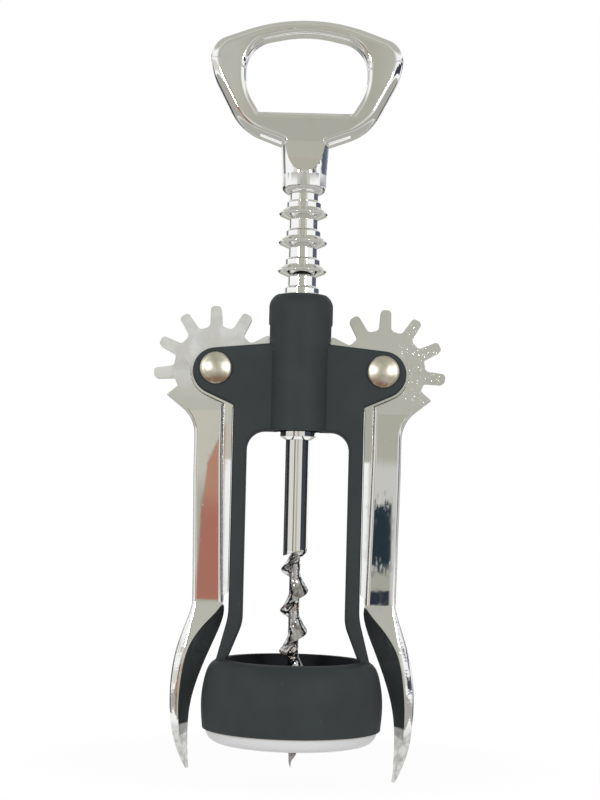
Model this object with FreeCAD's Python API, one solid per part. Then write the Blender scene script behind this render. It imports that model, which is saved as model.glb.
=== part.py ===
import FreeCAD
import Part

import math
import os

# Wing corkscrew, millimetres. X points right, Z up, and the front faces -Y.
# The origin is the centre of the bottle ring's lower rim, on the worm's axis.
# The levers hang down and the spindle stands at its upper stop.

# Rack and pinions
RACK_PITCH = 7.0
TOOTH_STEP_DEG = 31.2
FIRST_TOOTH_DEG = 92.0
PINION_TEETH = 7
PINION_TIP_R = 15.3
PINION_ROOT_R = 10.3
PINION_DEPTH = 3.8
TOOTH_ROOT_WIDTH = 3.0
TOOTH_TIP_WIDTH = 2.5
TOOTH_TIP_ROUND = 0.9
TOOTH_FOOT_ROUND = 1.0
PITCH_R = RACK_PITCH / math.radians(TOOTH_STEP_DEG)

# Lever pivots
PIVOT_X = 20.4
PIVOT_Z = 91.4
SPINDLE_TRAVEL = 25.5
LEVER_OPENING_DEG = math.degrees(SPINDLE_TRAVEL / PITCH_R)

# Spindle
RACK_RINGS = 8
RINGS_BELOW_PIVOT = 2
RING_R = 6.0
RING_EDGE = 0.9
RING_ROOT = 2.8
RING_BEVEL = 0.3
HUB_R = 4.25
HUB_HEIGHT = 1.3
HUB_CONE = 0.5
STEM_R = 3.5
CORE_ROD_R = 2.0
ROD_CLEARANCE = 0.03
COLLAR_GAP = 0.05
COLLAR_HUB_R = 4.4
COLLAR_HUB_HEIGHT = 1.3
COLLAR_CONE_HEIGHT = 0.8
COLLAR_FOOT_R = 3.2
COLLAR_RUNNING_FIT = 0.05
SHANK_R = 3.0

# Worm
WORM_PITCH = 10.0
WORM_R = 3.4
WORM_CORE_R = 1.3
WORM_TIP_Z = -6.2
WORM_TAPER_LENGTH = 16.0
WORM_PEAK_Z = 37.5
WORM_LEAD_DEG = 55.0
WORM_TRAIL_DEG = 150.0
WORM_POINT_SHARE = 0.03
WORM_FADE_LENGTH = 3.5
WORM_FADE_SHARE = 0.96
WORM_SECTIONS_PER_TURN = 8
SHANK_END_Z = 47.0
SHANK_CUT_RISE = 3.0

# Handle
HANDLE_TOP_Z = 177.3
HANDLE_TOP_R = 45.0
HANDLE_HALF_WIDTH = 23.7
HANDLE_SHOULDER_OUT = 0.8
HANDLE_SHOULDER_Z = 171.3
HANDLE_SHOULDER_R = 5.5
HANDLE_FLANK_IN = 0.8
HANDLE_FLANK_Z = 163.4
HANDLE_FLANK_R = 18.0
HANDLE_HIP_IN = 7.8
HANDLE_HIP_Z = 150.1
HANDLE_HIP_R = 13.0
HANDLE_WAIST_Z = 146.4
HANDLE_DEPTH = 6.4
HANDLE_OUTER_ROUND = 2.4
HANDLE_INNER_ROUND = 1.5
OPENER_FLOOR_Z = 154.5
OPENER_HALF_FLOOR = 11.5
OPENER_HALF_WIDTH = 14.95
OPENER_TOP_Z = 173.7
OPENER_TOP_R = 30.0
OPENER_SHOULDER_Z = 171.2
OPENER_SHOULDER_R = 7.5
OPENER_HIP_Z = 160.0
OPENER_HIP_R = 14.0
OPENER_CORNER_R = 0.3

# Handle socket
SOCKET_TOP_R = 5.85
SOCKET_R = 5.4
SOCKET_BOTTOM_Z = 134.8
SOCKET_DEPTH = 7.6
SOCKET_EDGE_HEIGHT = 1.6
SOCKET_BAND_TOP_Z = 139.4
SCOOP_RISE = 1.0
SCOOP_HOLLOW = 0.47
SOCKET_CLEARANCE = 0.03
HANDLE_PIN_R = 1.0
HANDLE_PIN_Z = 138.4

# Frame casting
TOWER_R = 7.85
TOWER_TOP_Z = 109.9
TOWER_BOTTOM_Z = 76.6
TOWER_SHOULDER = 3.0
BORE_CLEARANCE = 0.25
EAR_R = 5.7
EAR_DROP = 0.6
EAR_TOP_SLOPE_DEG = 5.7
EAR_BOTTOM_SLOPE_DEG = 24.0
FRAME_DEPTH = 8.0
STRUT_OUTER_X = 16.0
STRUT_INNER_X = 12.6
STRUT_FLARE_Z = 31.0
STRUT_FLARE_R = 16.0
WINDOW_CORNER_R = 4.5
BRIDGE_Z = 76.4
FOOT_X = 20.0
FOOT_Z = 16.0
POCKET_SIDE_CLEARANCE = 0.3
POCKET_TIP_CLEARANCE = 1.7
CASTING_ROUND = 0.8

# Bell and bottle ring
BELL_R = 22.3
BELL_WIDEST_Z = 9.8
BELL_TOP_Z = 20.4
BELL_TOP_R = 17.4
BELL_FOOT_R = 21.9
BELL_MOUTH_R = 16.0
RING_HEIGHT = 3.6
RING_OUTER_R = 21.3
RING_SPIGOT_R = 18.5
RING_SPIGOT_TOP_Z = 12.0
RING_SEAT_R = 17.3
BOTTLE_BORE_R = 15.75
BOTTLE_BORE_BEVEL = 0.5
RING_FIT = 0.03

# Pivot rivets
RIVET_R = 2.0
RIVET_RUNNING_FIT = 0.05
RIVET_HEAD_R = 3.95
RIVET_HEAD_RISE = 1.7
RIVET_HEAD_EDGE = 0.3
RIVET_CROWN_R = 8.0
RIVET_FIT = 0.02
RIVET_TAIL_R = 1.3
RIVET_CAP_DEPTH = 3.0

# Levers
BAR_DEPTH = 9.0
BAR_INNER_X = 17.45
BAR_STEP_X = 18.25
BAR_STEP_Z = 70.0
BAR_OUTER_X = 25.3
BAR_WAIST_Z = 66.0
BAR_NECK_Z = 79.0
BAR_EDGE_ROUND = 1.0
BEAK_X = 32.4
BEAK_Z = 84.7
BEAK_NOTCH_R = 11.6
BEAK_NOTCH_DEG = 27.5
EAR_GAP = 0.6
WEB_GAP = 0.3
WEB_LOW_Z = 36.0
SLOPE_LOW_Z = 81.0
SLOPE_TOP_Z = 96.0
SLOPE_HOLLOW = -0.45
STOP_MARGIN_DEG = 2.0
CREASE_Z = 34.4
CREASE_OUTER_X = 24.8
CREASE_INSET = 0.05
PADDLE_EDGE_FLAT = 0.4
RIGHT_PADDLE_LENGTH = 43.4
LEFT_PADDLE_LENGTH = 41.0


def vec(x, y, z):
    """Point or direction."""
    return FreeCAD.Vector(x, y, z)


def rounded_wire(corners, y):
    """Closed wire in the plane y from (x, z, corner radius) triples."""
    count = len(corners)
    spans = []
    for index in range(count):
        x, z, radius = corners[index]
        corner = vec(x, y, z)
        before = corners[index - 1]
        after = corners[(index + 1) % count]
        to_before = (vec(before[0], y, before[1]) - corner).normalize()
        to_after = (vec(after[0], y, after[1]) - corner).normalize()
        if radius <= 0:
            spans.append((corner, None, corner))
            continue
        half = to_before.getAngle(to_after) / 2.0
        reach = radius / math.tan(half)
        bisector = (to_before + to_after).normalize()
        middle = corner + bisector * (radius / math.sin(half) - radius)
        spans.append((corner + to_before * reach, middle, corner + to_after * reach))
    edges = []
    for index in range(count):
        start, middle, end = spans[index]
        if middle is not None:
            edges.append(Part.Arc(start, middle, end).toShape())
        following = spans[(index + 1) % count][0]
        if (following - end).Length > 1e-6:
            edges.append(Part.makeLine(end, following))
    return Part.Wire(edges)


def prism(corners, depth):
    """Outline in the XZ plane, extruded to the depth, centred on Y = 0."""
    face = Part.Face(rounded_wire(corners, -depth / 2.0))
    return face.extrude(vec(0, depth, 0))


def smooth_edge(points):
    """Arc through three points, or a smooth curve through more."""
    if len(points) == 3:
        return Part.Arc(*points).toShape()
    curve = Part.BSplineCurve()
    curve.interpolate(points)
    return curve.toShape()


def profile_face(profile, place):
    """Closed face from pairs of numbers set in space by place(); a nested list is one smooth edge."""
    edges = []
    last = None
    for item in profile:
        points = [place(*pair) for pair in (item if isinstance(item, list) else [item])]
        if last is not None and (points[0] - last).Length > 1e-6:
            edges.append(Part.makeLine(last, points[0]))
        if len(points) > 1:
            edges.append(smooth_edge(points))
        last = points[-1]
    first = edges[0].Vertexes[0].Point
    edges.append(Part.makeLine(last, first))
    return Part.Face(Part.Wire(edges))


def turned(profile):
    """Solid of revolution about Z from (radius, z) points."""
    face = profile_face(profile, lambda r, z: vec(r, 0, z))
    return face.revolve(vec(0, 0, 0), vec(0, 0, 1), 360)


def side_prism(profile, half_width):
    """Outline of (y, z) points, extruded along X to both sides."""
    face = profile_face(profile, lambda y, z: vec(-half_width, y, z))
    return face.extrude(vec(2.0 * half_width, 0, 0))


def hollow_arc(start, end, hollow):
    """Three points of a shallow arc between two points, bent to the first coordinate's smaller side."""
    middle = ((start[0] + end[0]) / 2.0 - hollow, (start[1] + end[1]) / 2.0)
    return [start, middle, end]


def flipped(profile):
    """Profile with its first coordinate negated."""
    return [[(-a, b) for a, b in item] if isinstance(item, list) else (-item[0], item[1]) for item in profile]


def y_cylinder(radius, x, z, y_from, y_to):
    """Cylinder along Y."""
    return Part.makeCylinder(radius, y_to - y_from, vec(x, y_from, z), vec(0, 1, 0))


def mirrored(shape):
    """The same part on the other side of the worm's axis."""
    return shape.mirror(vec(0, 0, 0), vec(1, 0, 0))


def soft_edges(shape, radius, chosen):
    """Fillet of the edges that the test picks."""
    edges = [edge for edge in shape.Edges if chosen(edge)]
    return shape.makeFillet(radius, edges)


def lies_on_faces(depth):
    """Test for edges that lie in the front or the back face of a prism."""
    def test(edge):
        box = edge.BoundBox
        return box.YLength < 1e-4 and abs(abs(box.YMin) - depth / 2.0) < 1e-4
    return test


def crown_apex(top_z, radius, corner_x, corner_z):
    """Height of the corner over an arch whose sides run straight on to the given corner."""
    rise = corner_z - top_z + radius
    distance = math.hypot(corner_x, rise)
    slope = math.atan2(corner_x, rise) - math.acos(radius / distance)
    return corner_z + corner_x * math.tan(slope)


def both_sides(right):
    """Outline corners of the right side and, in reverse order, of the left side."""
    return right + [(-x, z, radius) for x, z, radius in reversed(right)]


def ear_corners(grow):
    """Outline of one ear, from inside the tower round the pivot to the strut."""
    centre_x = PIVOT_X
    centre_z = PIVOT_Z - EAR_DROP
    radius = EAR_R + grow
    top = math.radians(EAR_TOP_SLOPE_DEG)
    low = math.radians(EAR_BOTTOM_SLOPE_DEG)
    top_normal = (math.sin(top), math.cos(top))
    low_normal = (math.sin(low), -math.cos(low))
    dot = top_normal[0] * low_normal[0] + top_normal[1] * low_normal[1]
    scale = radius / (1.0 + dot)
    nose_x = centre_x + scale * (top_normal[0] + low_normal[0])
    nose_z = centre_z + scale * (top_normal[1] + low_normal[1])
    inner_z = nose_z + nose_x * math.tan(top)
    foot_z = nose_z - (nose_x - STRUT_OUTER_X) * math.tan(low)
    return inner_z, (nose_x, nose_z, radius), foot_z


def ear_clearance():
    """The space that a lever's thick parts leave round an ear."""
    inner_z, nose, foot_z = ear_corners(EAR_GAP)
    step_z = foot_z + (BAR_STEP_X - STRUT_OUTER_X) * math.tan(math.radians(EAR_BOTTOM_SLOPE_DEG))
    low_z = PIVOT_Z - PINION_ROOT_R - 1.0
    corners = [(0, inner_z, 0), nose, (BAR_STEP_X, step_z, 0), (BAR_STEP_X, low_z, 0), (0, low_z, 0)]
    return prism(corners, 2.0 * BAR_DEPTH)


def frame_plates():
    """Ears, bridge and struts as one plate with its window, edges softened."""
    inner_z, nose, foot_z = ear_corners(0.0)
    width = STRUT_OUTER_X - STRUT_INNER_X
    right = [nose, (STRUT_OUTER_X, foot_z, CASTING_ROUND), (STRUT_OUTER_X, STRUT_FLARE_Z, STRUT_FLARE_R)]
    right += [(BELL_TOP_R + 1.2, BELL_TOP_Z + 0.6, 2.0), (FOOT_X, FOOT_Z, 0)]
    plate = prism([(0, inner_z, 0)] + both_sides(right), FRAME_DEPTH)
    window = [(STRUT_INNER_X, BRIDGE_Z, WINDOW_CORNER_R)]
    window += [(STRUT_INNER_X, STRUT_FLARE_Z - 0.6 * width, STRUT_FLARE_R - 1.75 * width)]
    window += [(BELL_MOUTH_R, BELL_TOP_Z, 0), (BELL_MOUTH_R, FOOT_Z - 1.0, 0)]
    plate = plate.cut(prism(both_sides(window), 2.0 * FRAME_DEPTH))
    return soft_edges(plate, CASTING_ROUND, lies_on_faces(FRAME_DEPTH))


def tower():
    """Round tower with a domed shoulder."""
    bore_r = RING_R + BORE_CLEARANCE
    wall = TOWER_R - bore_r
    shoulder = [(TOWER_R, TOWER_TOP_Z - TOWER_SHOULDER)]
    shoulder.append((TOWER_R - 0.2 * wall, TOWER_TOP_Z - 0.5 * TOWER_SHOULDER))
    shoulder.append((TOWER_R - 0.5 * wall, TOWER_TOP_Z - 0.25 * TOWER_SHOULDER))
    shoulder.append((bore_r, TOWER_TOP_Z))
    return turned([(0, TOWER_BOTTOM_Z), (TOWER_R, TOWER_BOTTOM_Z), shoulder, (0, TOWER_TOP_Z)])


def bell():
    """Bell that stands over the bottle's mouth."""
    rise = BELL_TOP_Z - BELL_WIDEST_Z
    swell = BELL_R - BELL_TOP_R
    flank = [(BELL_TOP_R, BELL_TOP_Z), (BELL_R - 0.45 * swell, BELL_TOP_Z - 0.11 * rise)]
    flank += [(BELL_R - 0.16 * swell, BELL_TOP_Z - 0.42 * rise), (BELL_R, BELL_WIDEST_Z)]
    flank.append((BELL_FOOT_R, RING_HEIGHT))
    return turned([(0, BELL_TOP_Z), flank, (0, RING_HEIGHT)])


def body_frame():
    """One casting: tower, ears, struts and bell."""
    frame = frame_plates().fuse([tower(), bell()])
    bore_r = RING_R + BORE_CLEARANCE
    bore_start = BRIDGE_Z - 5.0
    frame = frame.cut(Part.makeCylinder(bore_r, TOWER_TOP_Z, vec(0, 0, bore_start)))
    mouth = Part.makeCylinder(BELL_MOUTH_R, BELL_TOP_Z + 1.0, vec(0, 0, -1.0))
    seat_r = RING_SPIGOT_R + RING_FIT
    seat = Part.makeCylinder(seat_r, RING_SPIGOT_TOP_Z + RING_FIT, vec(0, 0, 0))
    frame = frame.cut([mouth, seat])
    pocket_half = PINION_DEPTH / 2.0 + POCKET_SIDE_CLEARANCE
    for side in (-1, 1):
        x = side * PIVOT_X
        pocket = y_cylinder(PINION_TIP_R + POCKET_TIP_CLEARANCE, x, PIVOT_Z, -pocket_half, pocket_half)
        hole = y_cylinder(RIVET_R + RIVET_FIT, x, PIVOT_Z, -FRAME_DEPTH, FRAME_DEPTH)
        frame = frame.cut([pocket, hole])
    return frame.removeSplitter()


def bottle_ring():
    """Insert that the bottle's lip seats in, pressed into the bell."""
    swell_r = RING_SEAT_R + 0.675 * (RING_OUTER_R - RING_SEAT_R)
    lip = [(RING_SEAT_R, 0), (swell_r, 0.3 * RING_HEIGHT), (RING_OUTER_R, RING_HEIGHT)]
    profile = [(BOTTLE_BORE_R + BOTTLE_BORE_BEVEL, 0), lip, (RING_SPIGOT_R, RING_HEIGHT)]
    profile += [(RING_SPIGOT_R, RING_SPIGOT_TOP_Z), (BOTTLE_BORE_R, RING_SPIGOT_TOP_Z)]
    profile += [(BOTTLE_BORE_R, BOTTLE_BORE_BEVEL)]
    return turned(profile)


def tooth(angle_deg):
    """One tooth that points to the angle, measured from +Z towards the rack."""
    foot_r = PINION_ROOT_R - 1.0
    root_r = PINION_ROOT_R + 0.2
    root = TOOTH_ROOT_WIDTH / 2.0
    tip = TOOTH_TIP_WIDTH / 2.0
    half = [(tip, PINION_TIP_R, TOOTH_TIP_ROUND), (root, root_r, TOOTH_FOOT_ROUND)]
    half += [(root + 2.0 * TOOTH_FOOT_ROUND, foot_r, 0)]
    corners = half + [(-x, z, radius) for x, z, radius in reversed(half)]
    shape = prism(corners, PINION_DEPTH)
    shape.translate(vec(PIVOT_X, 0, PIVOT_Z))
    shape.rotate(vec(PIVOT_X, 0, PIVOT_Z), vec(0, 1, 0), -angle_deg)
    return shape


def pinion():
    """Toothed sector and its web, thin enough to turn between the ears."""
    half = PINION_DEPTH / 2.0
    disc = y_cylinder(PINION_ROOT_R, PIVOT_X, PIVOT_Z, -half, half)
    teeth = [tooth(FIRST_TOOTH_DEG - TOOTH_STEP_DEG * index) for index in range(PINION_TEETH)]
    web_x = STRUT_OUTER_X + WEB_GAP
    middle_x = (BAR_STEP_X + BAR_OUTER_X) / 2.0
    web = [(web_x, WEB_LOW_Z, 1.0), (web_x, PIVOT_Z - 0.5 * PINION_ROOT_R, 0), (PIVOT_X, PIVOT_Z, 0)]
    web += [(middle_x, PIVOT_Z - PINION_ROOT_R, 0), (middle_x, WEB_LOW_Z, 0)]
    return disc.fuse(teeth + [prism(web, PINION_DEPTH)])


def thick_bar():
    """The lever's thick bar, stepped round the ear and sloping down to the sector."""
    notch = math.radians(BEAK_NOTCH_DEG)
    notch_x = PIVOT_X + BEAK_NOTCH_R * math.cos(notch)
    notch_z = PIVOT_Z - BEAK_NOTCH_R * math.sin(notch)
    corners = [(BAR_INNER_X, CREASE_Z, 0), (CREASE_OUTER_X, CREASE_Z, 0), (BAR_OUTER_X, BAR_WAIST_Z, 60.0)]
    corners += [(BAR_OUTER_X, BAR_NECK_Z, 8.0), (BEAK_X, BEAK_Z, 0.4), (notch_x, notch_z, 0.4)]
    corners += [(PIVOT_X + 0.4 * PINION_ROOT_R, PIVOT_Z, 0), (BAR_STEP_X, PIVOT_Z - 3.0, 0)]
    corners += [(BAR_STEP_X, BAR_STEP_Z, 20.0)]
    half = BAR_DEPTH / 2.0
    bar = prism(corners, BAR_DEPTH).fuse(y_cylinder(PINION_ROOT_R, PIVOT_X, PIVOT_Z, -half, half))
    bar = bar.cut(ear_clearance()).removeSplitter()
    on_faces = lies_on_faces(BAR_DEPTH)
    bar = soft_edges(bar, BAR_EDGE_ROUND, lambda edge: on_faces(edge) and edge.BoundBox.ZMax > CREASE_Z + 1.0)
    stopped = ear_clearance()
    stopped.rotate(vec(PIVOT_X, 0, PIVOT_Z), vec(0, 1, 0), LEVER_OPENING_DEG + STOP_MARGIN_DEG)
    thin = PINION_DEPTH / 2.0
    over = 2.0 * half
    far_z = PIVOT_Z + 2.0 * PINION_ROOT_R
    slope = [hollow_arc((half, SLOPE_LOW_Z), (thin, SLOPE_TOP_Z), SLOPE_HOLLOW), (thin, far_z)]
    slope += [(over, far_z), (over, SLOPE_LOW_Z)]
    for cutter in (slope, flipped(slope)):
        bar = bar.cut(side_prism(cutter, 3.0 * PIVOT_X))
    return bar.cut(stopped)


def paddle_section(z, ridge_x, edge_x, outer_x, depth, corner):
    """Section of the paddle: convex outside, two inner facets that meet at a ridge."""
    half = depth / 2.0
    flat_x = max(outer_x - corner, edge_x + PADDLE_EDGE_FLAT)
    side_y = half - corner
    bend = 0.7071 * corner
    front_mid = vec(flat_x + (outer_x - flat_x) * 0.7071, -side_y - bend, z)
    back_mid = vec(front_mid.x, -front_mid.y, z)
    edges = [
        Part.makeLine(vec(ridge_x, 0, z), vec(edge_x, -half, z)),
        Part.makeLine(vec(edge_x, -half, z), vec(flat_x, -half, z)),
        Part.Arc(vec(flat_x, -half, z), front_mid, vec(outer_x, -side_y, z)).toShape(),
        Part.makeLine(vec(outer_x, -side_y, z), vec(outer_x, side_y, z)),
        Part.Arc(vec(outer_x, side_y, z), back_mid, vec(flat_x, half, z)).toShape(),
        Part.makeLine(vec(flat_x, half, z), vec(edge_x, half, z)),
        Part.makeLine(vec(edge_x, half, z), vec(ridge_x, 0, z)),
    ]
    return Part.Wire(edges)


def paddle(length):
    """Thumb paddle that sweeps out past the bell and narrows to its tip."""
    inner_x = BAR_INNER_X + CREASE_INSET
    top = (0.0, inner_x, inner_x, CREASE_OUTER_X - CREASE_INSET, BAR_DEPTH - 2.0 * CREASE_INSET, 1.0)
    rows = [
        top,
        (0.105, 17.5, 20.7, 26.0, 9.8, 1.5),
        (0.25, 19.8, 25.0, 28.1, 11.0, 2.5),
        (0.41, 22.5, 26.8, 29.4, 11.7, 2.4),
        (0.60, 24.8, 27.5, 29.75, 11.4, 2.1),
        (0.77, 25.45, 27.2, 29.1, 9.6, 1.8),
        (0.90, 25.35, 26.4, 27.6, 6.8, 1.1),
        (1.0, 25.0, 25.3, 25.75, 3.4, 0.4),
    ]
    wires = [paddle_section(CREASE_Z - share * length, *sizes) for share, *sizes in rows]
    return Part.makeLoft(wires, True, False)


def right_lever(paddle_length):
    """Lever in one piece: sector, bar and paddle."""
    lever = pinion().fuse([thick_bar(), paddle(paddle_length)])
    bore = y_cylinder(RIVET_R + RIVET_RUNNING_FIT, PIVOT_X, PIVOT_Z, -BAR_DEPTH, BAR_DEPTH)
    return lever.cut(bore).removeSplitter()


def head_profile():
    """Half section of a domed rivet head, standing on z = 0: rounded rim, then a ball-shaped crown."""
    crown_z = RIVET_HEAD_RISE - RIVET_CROWN_R
    rim_r = 0.78 * RIVET_HEAD_R

    def on_crown(radius):
        return radius, crown_z + math.sqrt(RIVET_CROWN_R ** 2 - radius ** 2)

    rim_top = on_crown(rim_r)
    rim_middle = (0.94 * RIVET_HEAD_R, RIVET_HEAD_EDGE + 0.62 * (rim_top[1] - RIVET_HEAD_EDGE))
    rim = [(RIVET_HEAD_R, RIVET_HEAD_EDGE), rim_middle, rim_top]
    return [rim, [rim_top, on_crown(rim_r / 2.0), on_crown(0.0)]]


def right_rivet():
    """Rivet with its domed head on the front ear and a turned-down tail."""
    length = FRAME_DEPTH
    tail_z = -length + RIVET_CAP_DEPTH
    profile = [(0, -length), (RIVET_TAIL_R, -length), (RIVET_TAIL_R, tail_z), (RIVET_R, tail_z)]
    profile += [(RIVET_R, 0), (RIVET_HEAD_R, 0)] + head_profile()
    shape = turned(profile)
    shape.rotate(vec(0, 0, 0), vec(1, 0, 0), 90)
    shape.translate(vec(PIVOT_X, -FRAME_DEPTH / 2.0, PIVOT_Z))
    return shape


def right_rivet_cap():
    """Cap pressed on the rivet's tail from behind."""
    bore = RIVET_TAIL_R + RIVET_FIT
    sleeve_z = -RIVET_CAP_DEPTH + RIVET_FIT
    profile = [(bore, sleeve_z), (RIVET_R, sleeve_z), (RIVET_R, 0), (RIVET_HEAD_R, 0)]
    profile += head_profile() + [(0, RIVET_FIT), (bore, RIVET_FIT)]
    shape = turned(profile)
    shape.rotate(vec(0, 0, 0), vec(1, 0, 0), -90)
    shape.translate(vec(PIVOT_X, FRAME_DEPTH / 2.0, PIVOT_Z))
    return shape


def ring_centre(index):
    """Height of a rack ring; the pivots lie half way between two rings."""
    return PIVOT_Z + (index - RINGS_BELOW_PIVOT + 0.5) * RACK_PITCH


def rack():
    """Sleeve with equal rings, each under a short hub, and a stem in the handle."""
    bore = CORE_ROD_R + ROD_CLEARANCE
    bottom = ring_centre(0) - RACK_PITCH + RING_ROOT / 2.0 + HUB_HEIGHT + HUB_CONE
    top = SOCKET_BOTTOM_Z + SOCKET_DEPTH - SOCKET_CLEARANCE
    profile = [(bore, bottom), (STEM_R, bottom)]
    for index in range(RACK_RINGS):
        z = ring_centre(index)
        rim = [(RING_R - RING_BEVEL, z - RING_EDGE / 2.0), (RING_R, z)]
        rim.append((RING_R - RING_BEVEL, z + RING_EDGE / 2.0))
        hub_top = z + RING_ROOT / 2.0 + HUB_HEIGHT
        profile += [(STEM_R, z - RING_ROOT / 2.0), rim, (HUB_R, z + RING_ROOT / 2.0)]
        profile += [(HUB_R, hub_top), (STEM_R, hub_top + HUB_CONE)]
    profile += [(STEM_R, top), (bore, top)]
    return turned(profile).cut(pin_hole())


def collar_top():
    """Underside of the rack, where the collar starts."""
    return ring_centre(0) - RACK_PITCH + RING_ROOT / 2.0 + HUB_HEIGHT + HUB_CONE - COLLAR_GAP


def shank_collar():
    """Flared collar under the rack, on the same axis."""
    bore = CORE_ROD_R + COLLAR_RUNNING_FIT
    top = collar_top()
    hub_top = top - HUB_CONE
    hub_low = hub_top - COLLAR_HUB_HEIGHT
    foot = hub_low - COLLAR_CONE_HEIGHT
    profile = [(bore, top), (STEM_R, top), (COLLAR_HUB_R, hub_top), (COLLAR_HUB_R, hub_low)]
    profile += [(COLLAR_FOOT_R, foot), (bore, foot)]
    return turned(profile)


def worm_section(z, scale):
    """Cross-section of the worm: round core with one sharp, trailing flight."""
    turn = 360.0 * (z - WORM_PEAK_Z) / WORM_PITCH

    def point(angle_deg, radius):
        angle = math.radians(angle_deg + turn)
        return vec(scale * radius * math.cos(angle), scale * radius * math.sin(angle), z)

    tip = point(0.0, WORM_R)
    lead_point = point(WORM_LEAD_DEG, WORM_CORE_R)
    trail_point = point(-WORM_TRAIL_DEG, WORM_CORE_R)
    far_point = point(180.0 - (WORM_TRAIL_DEG - WORM_LEAD_DEG) / 2.0, WORM_CORE_R)
    rise = WORM_R - WORM_CORE_R
    shares = [(0.73, 0.14), (0.47, 0.4), (0.2, 0.74)]
    flight = [point(-WORM_TRAIL_DEG * turn_part, WORM_CORE_R + rise * part) for turn_part, part in shares]
    flank = Part.BSplineCurve()
    flank.interpolate([trail_point] + flight + [tip])
    core = Part.Arc(lead_point, far_point, trail_point).toShape()
    return Part.Wire([flank.toShape(), Part.makeLine(tip, lead_point), core])


def worm_scale(z):
    """Share of the full section: drawn out to the point, and let into the shank on top."""
    along = (z - WORM_TIP_Z) / WORM_TAPER_LENGTH
    if along < 1.0:
        return max(WORM_POINT_SHARE, math.sin(along * math.pi / 2.0) ** 0.8)
    fade_start = SHANK_END_Z - WORM_FADE_LENGTH
    full_share = WORM_FADE_SHARE * min(1.0, SHANK_R / WORM_R)
    fade = min(1.0, max(0.0, (z - fade_start) / WORM_FADE_LENGTH))
    return 1.0 - (1.0 - full_share) * fade


def worm_flight():
    """Twisted, tapering bar, one turn for each pitch."""
    top = SHANK_END_Z + SHANK_CUT_RISE / 2.0
    count = round((top - WORM_TIP_Z) / WORM_PITCH * WORM_SECTIONS_PER_TURN)
    heights = [WORM_TIP_Z + (top - WORM_TIP_Z) * index / count for index in range(count + 1)]
    return Part.makeLoft([worm_section(z, worm_scale(z)) for z in heights], True, False)


def worm():
    """Worm with its plain shank and the thin rod that carries the rack."""
    collar_foot = collar_top() - HUB_CONE - COLLAR_HUB_HEIGHT - COLLAR_CONE_HEIGHT - COLLAR_GAP
    low = SHANK_END_Z - 2.0
    rod_top = SOCKET_BOTTOM_Z + SOCKET_DEPTH - SOCKET_CLEARANCE
    shank = turned([(0, low), (SHANK_R, low), (SHANK_R, collar_foot), (CORE_ROD_R, collar_foot),
                    (CORE_ROD_R, rod_top), (0, rod_top)])
    cut_low = SHANK_END_Z - SHANK_CUT_RISE / 2.0
    cut_high = SHANK_END_Z + SHANK_CUT_RISE / 2.0
    edge = 1.4 * SHANK_R
    cut = prism([(-edge, cut_low, 0), (edge, cut_high, 0), (edge, low - 1.0, 0), (-edge, low - 1.0, 0)], 9.0)
    return shank.cut(cut).fuse(worm_flight()).cut(pin_hole()).removeSplitter()


def pin_hole():
    """Cross hole for the handle pin, through rack and rod."""
    reach = 2.0 * SOCKET_R
    return y_cylinder(HANDLE_PIN_R + SOCKET_CLEARANCE, 0, HANDLE_PIN_Z, -reach, reach)


def handle_pin():
    """Pin that fixes the spindle in the handle's socket, entered from behind."""
    return y_cylinder(HANDLE_PIN_R, 0, HANDLE_PIN_Z, -STEM_R - 0.2, SOCKET_R - 0.25)


def handle_loop():
    """Flat loop of the handle with its opening, edges softened."""
    shoulder_x = HANDLE_HALF_WIDTH + HANDLE_SHOULDER_OUT
    apex_z = crown_apex(HANDLE_TOP_Z, HANDLE_TOP_R, shoulder_x, HANDLE_SHOULDER_Z)
    right = [(shoulder_x, HANDLE_SHOULDER_Z, HANDLE_SHOULDER_R)]
    right += [(HANDLE_HALF_WIDTH - HANDLE_FLANK_IN, HANDLE_FLANK_Z, HANDLE_FLANK_R)]
    right += [(HANDLE_HALF_WIDTH - HANDLE_HIP_IN, HANDLE_HIP_Z, HANDLE_HIP_R)]
    right += [(SOCKET_TOP_R, HANDLE_WAIST_Z, 0.3), (0.8 * SOCKET_TOP_R, HANDLE_WAIST_Z - 1.2, 0)]
    loop = prism([(0, apex_z, HANDLE_TOP_R)] + both_sides(right), HANDLE_DEPTH)
    on_faces = lies_on_faces(HANDLE_DEPTH)
    loop = soft_edges(loop, HANDLE_OUTER_ROUND, lambda edge: on_faces(edge) and edge.BoundBox.ZMin > 145.0)
    apex_z = crown_apex(OPENER_TOP_Z, OPENER_TOP_R, OPENER_HALF_WIDTH, OPENER_SHOULDER_Z)
    right = [(OPENER_HALF_WIDTH, OPENER_SHOULDER_Z, OPENER_SHOULDER_R)]
    right += [(OPENER_HALF_WIDTH, OPENER_HIP_Z, OPENER_HIP_R)]
    right += [(OPENER_HALF_FLOOR, OPENER_FLOOR_Z, OPENER_CORNER_R)]
    loop = loop.cut(prism([(0, apex_z, OPENER_TOP_R)] + both_sides(right), 2.0 * HANDLE_DEPTH))

    def on_opening(edge):
        box = edge.BoundBox
        if abs(box.Center.x) > OPENER_HALF_WIDTH or box.XLength > 2.0 * OPENER_HALF_WIDTH:
            return False
        return on_faces(edge) and box.ZMin > OPENER_FLOOR_Z + 0.15 and box.ZMax < OPENER_TOP_Z + 0.1

    return soft_edges(loop, HANDLE_INNER_ROUND, on_opening)


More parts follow.
